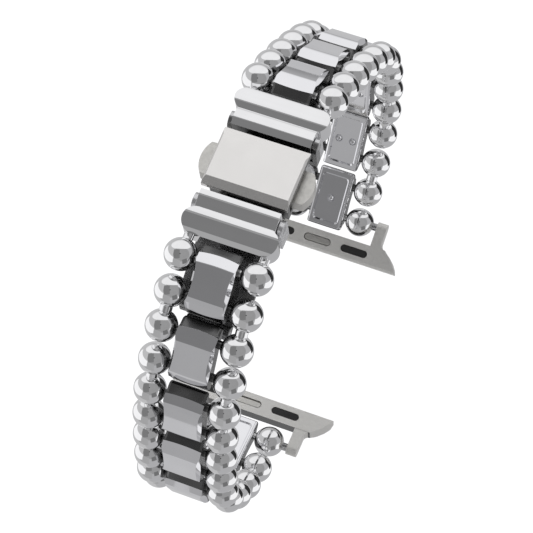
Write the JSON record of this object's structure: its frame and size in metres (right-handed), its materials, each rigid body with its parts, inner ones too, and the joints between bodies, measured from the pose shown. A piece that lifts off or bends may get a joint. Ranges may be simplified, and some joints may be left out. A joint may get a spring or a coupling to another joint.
{
  "type": "watch bracelet",
  "caption": "Beaded metal watch bracelet of hinged centre blocks and paired bead links, with a folding push-button clasp and slide-in lug adapters.",
  "frame": {"origin": "centre of the bounding box on the plane that the bracelet stands on", "axes": "+Z along the wrist, parallel to every hinge pin; +X along the clasp towards strap a; -Y out of the clasp's face"},
  "size_m": [0.0722, 0.0568, 0.027],
  "materials": {
    "chrome_beads": "mirror polished",
    "chrome_blocks": "mirror polished",
    "chrome_clasp": "mirror polished",
    "blade_steel": "polished, dark in shade",
    "satin_steel": "fine satin",
    "button_steel": "fine satin",
    "pin_steel": "drawn",
    "spring_steel": "drawn wire",
    "black_rubber": "matte"
  },
  "bodies": {
    "clasp": {"clasp_base": "blade_steel", "latch_box": "pin_steel", "clasp_cover": "chrome_clasp", "box_rivets": "pin_steel", "button_spring_lower": "spring_steel", "button_spring_upper": "spring_steel", "wing_hinge_pin_a": "pin_steel", "wing_hinge_pin_b": "pin_steel"},
    "button_lower": {"button_lower": "button_steel"},
    "button_upper": {"button_upper": "button_steel"},
    "wing_a": {"wing_a": "blade_steel", "end_link_pin_a": "pin_steel"},
    "end_link_a": {"end_link_a": "chrome_clasp", "first_bead_pin_a": "pin_steel"},
    "block_a1": {"block_a1": "chrome_blocks"},
    "side_link_a1": {"side_link_a1": "chrome_beads"},
    "block_a2": {"block_a2": "chrome_blocks"},
    "side_link_a2": {"side_link_a2": "chrome_beads"},
    "block_a3": {"block_a3": "chrome_blocks"},
    "side_link_a3": {"side_link_a3": "chrome_beads"},
    "block_a4": {"block_a4": "chrome_blocks"},
    "side_link_a4": {"side_link_a4": "chrome_beads"},
    "block_a5": {"block_a5": "chrome_blocks"},
    "side_link_a5": {"side_link_a5": "chrome_beads"},
    "block_a6": {"block_a6": "chrome_blocks"},
    "side_link_a6": {"side_link_a6": "chrome_beads"},
    "block_a7": {"block_a7": "chrome_blocks"},
    "lug_a": {"lug_a": "satin_steel", "lug_pin_a": "pin_steel", "lug_beads_a": "chrome_beads", "lug_pads_a": "black_rubber", "lug_latch_spring_a": "spring_steel"},
    "lug_latch_a": {"lug_latch_a": "button_steel"},
    "wing_b": {"wing_b": "blade_steel", "end_link_pin_b": "pin_steel"},
    "end_link_b": {"end_link_b": "chrome_clasp", "first_bead_pin_b": "pin_steel"},
    "block_b1": {"block_b1": "chrome_blocks"},
    "side_link_b1": {"side_link_b1": "chrome_beads"},
    "block_b2": {"block_b2": "chrome_blocks"},
    "side_link_b2": {"side_link_b2": "chrome_beads"},
    "block_b3": {"block_b3": "chrome_blocks"},
    "side_link_b3": {"side_link_b3": "chrome_beads"},
    "block_b4": {"block_b4": "chrome_blocks"},
    "side_link_b4": {"side_link_b4": "chrome_beads"},
    "block_b5": {"block_b5": "chrome_blocks"},
    "side_link_b5": {"side_link_b5": "chrome_beads"},
    "block_b6": {"block_b6": "chrome_blocks"},
    "side_link_b6": {"side_link_b6": "chrome_beads"},
    "block_b7": {"block_b7": "chrome_blocks"},
    "lug_b": {"lug_b": "satin_steel", "lug_pin_b": "pin_steel", "lug_beads_b": "chrome_beads", "lug_pads_b": "black_rubber", "lug_latch_spring_b": "spring_steel"},
    "lug_latch_b": {"lug_latch_b": "button_steel"}
  },
  "joints": [
    {"name": "button_lower_press", "type": "slide", "parent": "clasp", "child": "button_lower", "axis": [0, 0, 1], "range_m": [0, 0.0012], "stiffness_N_per_m": 400, "springref_m": -0.002, "deforming": ["button_spring_lower"]},
    {"name": "button_upper_press", "type": "slide", "parent": "clasp", "child": "button_upper", "axis": [0, 0, -1], "range_m": [0, 0.0012], "stiffness_N_per_m": 400, "springref_m": -0.002, "deforming": ["button_spring_upper"]},
    {"name": "wing_a_fold", "type": "hinge", "parent": "clasp", "child": "wing_a", "pos_m": [0.01995, -0.01765, 0.0135], "axis": [0, 0, 1], "range_deg": [0, 90]},
    {"name": "end_link_a_pivot", "type": "hinge", "parent": "wing_a", "child": "end_link_a", "pos_m": [0.00695, -0.02626, 0.0135], "axis": [0, 0, 1], "range_deg": [-90, 0]},
    {"name": "strap_a_pin_1", "type": "hinge", "parent": "end_link_a", "child": "block_a1", "pos_m": [0.0143, -0.02535, 0.0135], "axis": [0, 0, 1], "range_deg": [-39, 3]},
    {"name": "strap_a_pin_2", "type": "hinge", "parent": "block_a1", "child": "side_link_a1", "pos_m": [0.0185, -0.02263, 0.0135], "axis": [0, 0, 1], "range_deg": [-8, 5]},
    {"name": "strap_a_pin_3", "type": "hinge", "parent": "side_link_a1", "child": "block_a2", "pos_m": [0.02251, -0.01982, 0.0135], "axis": [0, 0, 1], "range_deg": [-18, 3]},
    {"name": "strap_a_pin_4", "type": "hinge", "parent": "block_a2", "child": "side_link_a2", "pos_m": [0.02592, -0.01616, 0.0135], "axis": [0, 0, 1], "range_deg": [-13, 7]},
    {"name": "strap_a_pin_5", "type": "hinge", "parent": "side_link_a2", "child": "block_a3", "pos_m": [0.0288, -0.0122, 0.0135], "axis": [0, 0, 1], "range_deg": [-20, 3]},
    {"name": "strap_a_pin_6", "type": "hinge", "parent": "block_a3", "child": "side_link_a3", "pos_m": [0.03068, -0.00756, 0.0135], "axis": [0, 0, 1], "range_deg": [-11, 9]},
    {"name": "strap_a_pin_7", "type": "hinge", "parent": "side_link_a3", "child": "block_a4", "pos_m": [0.03211, -0.00288, 0.0135], "axis": [0, 0, 1], "range_deg": [-10, 10]},
    {"name": "strap_a_pin_8", "type": "hinge", "parent": "block_a4", "child": "side_link_a4", "pos_m": [0.03323, 0.00199, 0.0135], "axis": [0, 0, 1], "range_deg": [-12, 8]},
    {"name": "strap_a_pin_9", "type": "hinge", "parent": "side_link_a4", "child": "block_a5", "pos_m": [0.03383, 0.00686, 0.0135], "axis": [0, 0, 1], "range_deg": [-23, 3]},
    {"name": "strap_a_pin_10", "type": "hinge", "parent": "block_a5", "child": "side_link_a5", "pos_m": [0.03296, 0.01178, 0.0135], "axis": [0, 0, 1], "range_deg": [-20, 3]},
    {"name": "strap_a_pin_11", "type": "hinge", "parent": "side_link_a5", "child": "block_a6", "pos_m": [0.03097, 0.01626, 0.0135], "axis": [0, 0, 1], "range_deg": [-18, 3]},
    {"name": "strap_a_pin_12", "type": "hinge", "parent": "block_a6", "child": "side_link_a6", "pos_m": [0.02803, 0.0203, 0.0135], "axis": [0, 0, 1], "range_deg": [-21, 3]},
    {"name": "strap_a_pin_13", "type": "hinge", "parent": "side_link_a6", "child": "block_a7", "pos_m": [0.02422, 0.02339, 0.0135], "axis": [0, 0, 1], "range_deg": [-30, 3]},
    {"name": "strap_a_pin_14", "type": "hinge", "parent": "block_a7", "child": "lug_a", "pos_m": [0.01939, 0.02468, 0.0135], "axis": [0, 0, 1], "range_deg": [-15, 5]},
    {"name": "lug_latch_a_press", "type": "slide", "parent": "lug_a", "child": "lug_latch_a", "axis": [0.1045, 0.9945, 0], "range_m": [0, 0.0003], "stiffness_N_per_m": 150, "springref_m": -0.001},
    {"name": "wing_b_fold", "type": "hinge", "parent": "clasp", "child": "wing_b", "pos_m": [-0.01885, -0.01765, 0.0135], "axis": [0, 0, 1], "range_deg": [-90, 0]},
    {"name": "end_link_b_pivot", "type": "hinge", "parent": "wing_b", "child": "end_link_b", "pos_m": [-0.00585, -0.02626, 0.0135], "axis": [0, 0, 1], "range_deg": [0, 90]},
    {"name": "strap_b_pin_1", "type": "hinge", "parent": "end_link_b", "child": "block_b1", "pos_m": [-0.0132, -0.02535, 0.0135], "axis": [0, 0, 1], "range_deg": [-3, 43]},
    {"name": "strap_b_pin_2", "type": "hinge", "parent": "block_b1", "child": "side_link_b1", "pos_m": [-0.01719, -0.02235, 0.0135], "axis": [0, 0, 1], "range_deg": [-5, 9]},
    {"name": "strap_b_pin_3", "type": "hinge", "parent": "side_link_b1", "child": "block_b2", "pos_m": [-0.02094, -0.0192, 0.0135], "axis": [0, 0, 1], "range_deg": [-10, 10]},
    {"name": "strap_b_pin_4", "type": "hinge", "parent": "block_b2", "child": "side_link_b2", "pos_m": [-0.02454, -0.01572, 0.0135], "axis": [0, 0, 1], "range_deg": [-11, 9]},
    {"name": "strap_b_pin_5", "type": "hinge", "parent": "side_link_b2", "child": "block_b3", "pos_m": [-0.02788, -0.01214, 0.0135], "axis": [0, 0, 1], "range_deg": [-8, 12]},
    {"name": "strap_b_pin_6", "type": "hinge", "parent": "block_b3", "child": "side_link_b3", "pos_m": [-0.03089, -0.00815, 0.0135], "axis": [0, 0, 1], "range_deg": [-3, 18]},
    {"name": "strap_b_pin_7", "type": "hinge", "parent": "side_link_b3", "child": "block_b4", "pos_m": [-0.03296, -0.0037, 0.0135], "axis": [0, 0, 1], "range_deg": [-3, 21]},
    {"name": "strap_b_pin_8", "type": "hinge", "parent": "block_b4", "child": "side_link_b4", "pos_m": [-0.03383, 0.00122, 0.0135], "axis": [0, 0, 1], "range_deg": [-3, 18]},
    {"name": "strap_b_pin_9", "type": "hinge", "parent": "side_link_b4", "child": "block_b5", "pos_m": [-0.03366, 0.00612, 0.0135], "axis": [0, 0, 1], "range_deg": [-4, 16]},
    {"name": "strap_b_pin_10", "type": "hinge", "parent": "block_b5", "child": "side_link_b5", "pos_m": [-0.03262, 0.01101, 0.0135], "axis": [0, 0, 1], "range_deg": [-3, 18]},
    {"name": "strap_b_pin_11", "type": "hinge", "parent": "side_link_b5", "child": "block_b6", "pos_m": [-0.03063, 0.01548, 0.0135], "axis": [0, 0, 1], "range_deg": [-3, 24]},
    {"name": "strap_b_pin_12", "type": "hinge", "parent": "block_b6", "child": "side_link_b6", "pos_m": [-0.02728, 0.0192, 0.0135], "axis": [0, 0, 1], "range_deg": [-6, 14]},
    {"name": "strap_b_pin_13", "type": "hinge", "parent": "side_link_b6", "child": "block_b7", "pos_m": [-0.02353, 0.02235, 0.0135], "axis": [0, 0, 1], "range_deg": [-11, 9]},
    {"name": "strap_b_pin_14", "type": "hinge", "parent": "block_b7", "child": "lug_b", "pos_m": [-0.01953, 0.02536, 0.0135], "axis": [0, 0, 1], "range_deg": [-3, 25]},
    {"name": "lug_latch_b_press", "type": "slide", "parent": "lug_b", "child": "lug_latch_b", "axis": [-0.309, 0.9511, 0], "range_m": [0, 0.0003], "stiffness_N_per_m": 150, "springref_m": -0.001}
  ],
  "couplings": [
    {"joint": "end_link_a_pivot", "follows": "wing_a_fold", "ratio": -1},
    {"joint": "end_link_b_pivot", "follows": "wing_b_fold", "ratio": -1}
  ]
}
